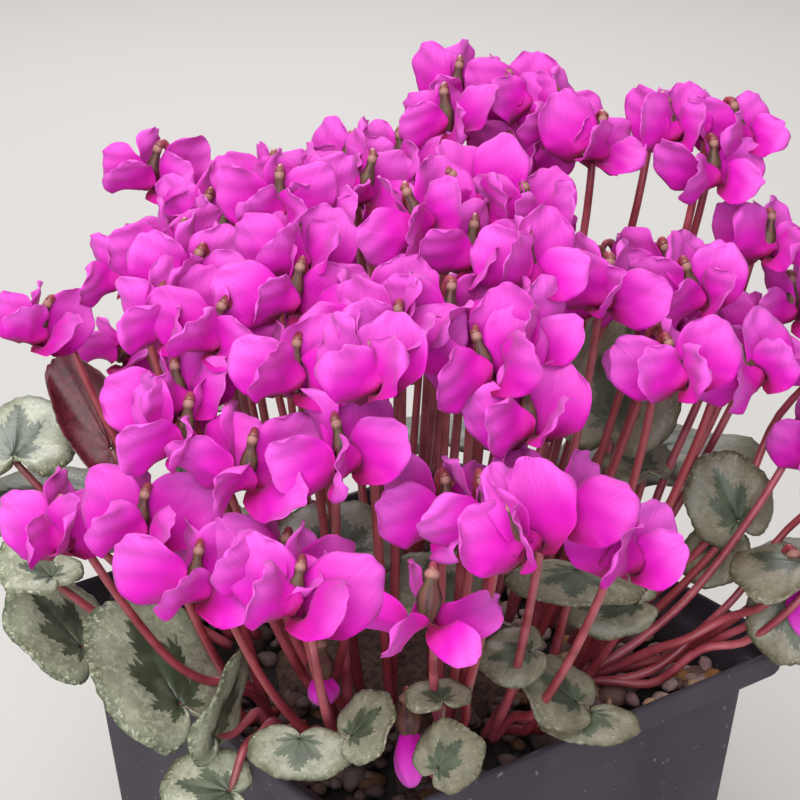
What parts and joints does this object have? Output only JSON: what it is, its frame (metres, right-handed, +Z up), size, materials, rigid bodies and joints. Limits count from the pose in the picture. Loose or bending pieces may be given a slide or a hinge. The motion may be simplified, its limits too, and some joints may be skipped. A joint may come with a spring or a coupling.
{
  "type": "potted cyclamen",
  "caption": "Small hardy cyclamen in flower in a square plastic pot: hooked stems with swept-back petals rise from a tuber over marbled heart-shaped leaves.",
  "frame": {"origin": "centre of the pot's flat underside", "axes": "+Z up, X and Y along the pot's sides"},
  "size_m": [0.1754, 0.179, 0.2232],
  "materials": {
    "pot": "matt, dusty",
    "compost": "moist, crumbly",
    "grit": "rough pebbles",
    "tuber": "corky",
    "leaf": "marbled, waxy",
    "flower": "velvety petals",
    "bud": "velvety petals"
  },
  "bodies": {
    "root": {"pot": "pot", "compost": "compost", "grit_layer": "grit", "tuber": "tuber", "flower_shoot_01": "flower", "flower_shoot_02": "flower", "flower_shoot_03": "flower", "flower_shoot_04": "flower", "flower_shoot_05": "flower", "flower_shoot_06": "flower", "flower_shoot_07": "flower", "flower_shoot_08": "flower", "flower_shoot_09": "flower", "flower_shoot_10": "flower", "flower_shoot_11": "flower", "flower_shoot_12": "flower", "flower_shoot_13": "flower", "flower_shoot_14": "flower", "flower_shoot_15": "flower", "flower_shoot_16": "flower", "flower_shoot_17": "flower", "flower_shoot_18": "flower", "flower_shoot_19": "flower", "flower_shoot_20": "flower", "flower_shoot_21": "flower", "flower_shoot_22": "flower", "flower_shoot_23": "flower", "flower_shoot_24": "flower", "flower_shoot_25": "flower", "bud_01": "bud", "bud_02": "bud", "bud_03": "bud", "leaf_01": "leaf", "leaf_02": "leaf", "leaf_03": "leaf", "leaf_04": "leaf", "leaf_05": "leaf", "leaf_06": "leaf", "leaf_07": "leaf", "leaf_08": "leaf", "leaf_09": "leaf", "leaf_10": "leaf", "leaf_11": "leaf", "leaf_12": "leaf", "leaf_13": "leaf", "leaf_14": "leaf", "leaf_15": "leaf", "leaf_16": "leaf", "leaf_17": "leaf", "leaf_18": "leaf", "leaf_19": "leaf", "leaf_20": "leaf", "leaf_21": "leaf", "leaf_22": "leaf", "leaf_23": "leaf", "leaf_24": "leaf", "leaf_25": "leaf", "leaf_26": "leaf", "leaf_27": "leaf", "leaf_28": "leaf"}
  },
  "joints": []
}
